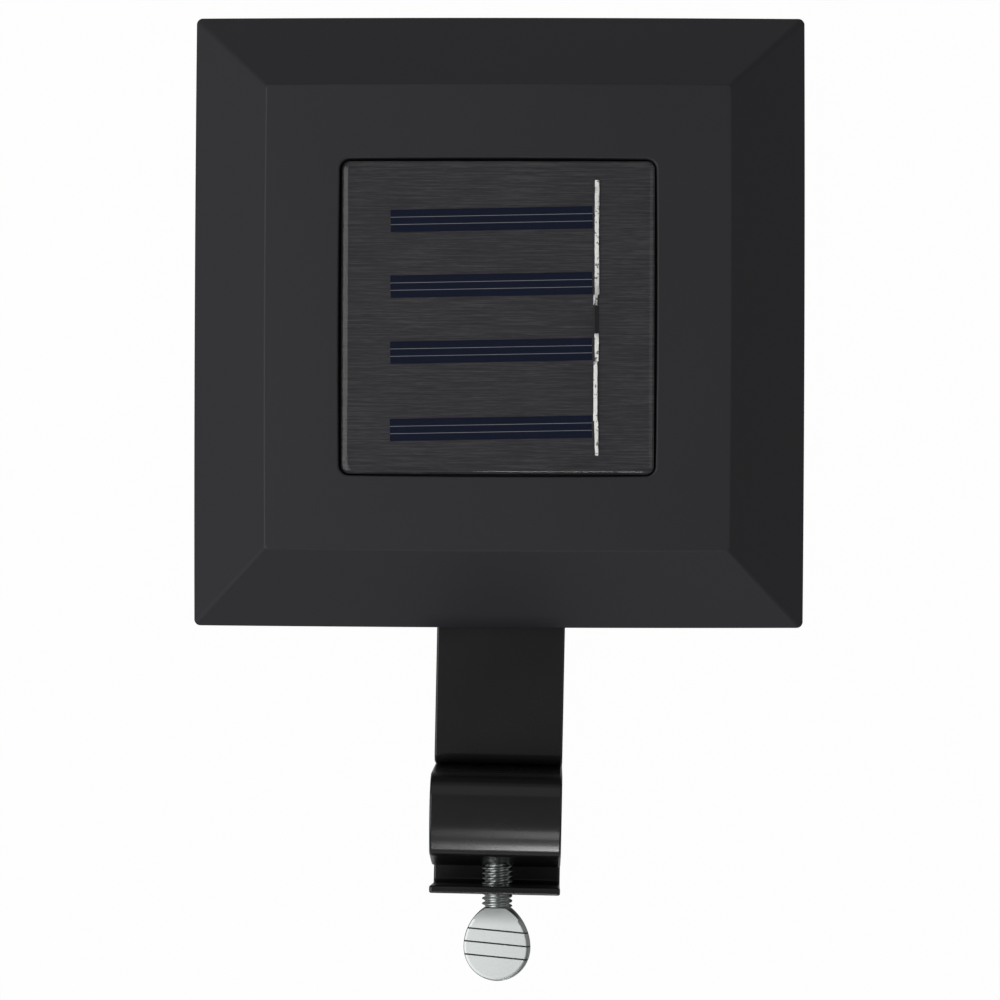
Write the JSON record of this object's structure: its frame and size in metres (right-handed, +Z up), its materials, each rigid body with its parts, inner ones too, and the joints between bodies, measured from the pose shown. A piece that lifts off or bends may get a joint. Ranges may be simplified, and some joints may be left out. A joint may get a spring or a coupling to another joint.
{
  "type": "fence light",
  "caption": "Square solar light with a bevelled housing, held on a fence top or gutter edge by a bent strip hook and a thumb screw.",
  "frame": {"origin": "top of the space inside the hook, where the fence's edge seats, in the middle of the strip's width", "axes": "+Z up, out of the solar panel; +Y from the hook to the lamp, along the strap; +X across the strap"},
  "size_m": [0.12, 0.1897, 0.0312],
  "materials": {
    "black_housing": "satin moulded black plastic with a faint grain",
    "foam_tape": "black foam tape",
    "panel_backing": "dark coated board under the resin",
    "solar_cell": "dark blue silicon with silver lines",
    "silver_ribbon": "tinned ribbon, slightly crumpled",
    "clear_resin": "clear domed resin",
    "seal_rubber": "soft black rubber",
    "plated_steel": "bright zinc plate",
    "frosted_lens": "milky frosted plastic",
    "white_plastic": "white moulded plastic",
    "white_board": "white coated circuit board",
    "led_phosphor": "yellow light-emitting face in a white frame",
    "chip_black": "black moulded chip",
    "ferrite": "dark ferrite with copper winding",
    "battery_sleeve": "shrunk plastic sleeve, plain green",
    "nickel": "nickel-plated spring steel",
    "switch_can": "folded steel can",
    "switch_black": "black moulded plastic",
    "wire_red": "red insulation",
    "wire_black": "black insulation",
    "black_coat": "glossy black powder coat with a fine orange-peel"
  },
  "bodies": {
    "lamp": {"top_cover": "black_housing", "panel_seal": "foam_tape", "panel_board": "panel_backing", "cell_strips": "solar_cell", "cell_ribbon": "silver_ribbon", "panel_resin": "clear_resin", "housing_seal": "seal_rubber", "housing_screws": "plated_steel", "base_plate": "black_housing", "lens": "frosted_lens", "reflector": "white_plastic", "reflector_screws": "plated_steel", "led_board": "white_board", "board_screws": "plated_steel", "leds": "led_phosphor", "driver_chip": "chip_black", "inductor": "ferrite", "battery_cell": "battery_sleeve", "battery_spring": "nickel", "battery_contact": "nickel", "battery_cover": "black_housing", "battery_cover_screw": "plated_steel", "switch_body": "switch_can", "switch_screws": "plated_steel", "wire_panel_red": "wire_red", "wire_panel_black": "wire_black", "wire_battery_red": "wire_red", "wire_battery_black": "wire_black", "wire_switch": "wire_red", "bracket": "black_coat", "bracket_screws": "plated_steel"},
    "switch": {"switch_slider": "switch_black"},
    "tip": {"screw_tip_cap": "switch_black"},
    "screw": {"thumb_screw": "plated_steel"}
  },
  "joints": [
    {"name": "switch_slide", "type": "slide", "parent": "lamp", "child": "switch", "axis": [1, 0, 0], "range_m": [0, 0.002]},
    {"name": "tip_advance", "type": "slide", "parent": "lamp", "child": "tip", "axis": [0, 1, 0], "range_m": [-0.007, 0.0018]},
    {"name": "screw_turn", "type": "hinge", "parent": "tip", "child": "screw", "pos_m": [0, 0, -0.016], "axis": [0, 1, 0], "range_deg": [-2520, 648]}
  ],
  "couplings": [
    {"joint": "screw_turn", "follows": "tip_advance", "rad_per_m": 6283.2}
  ]
}
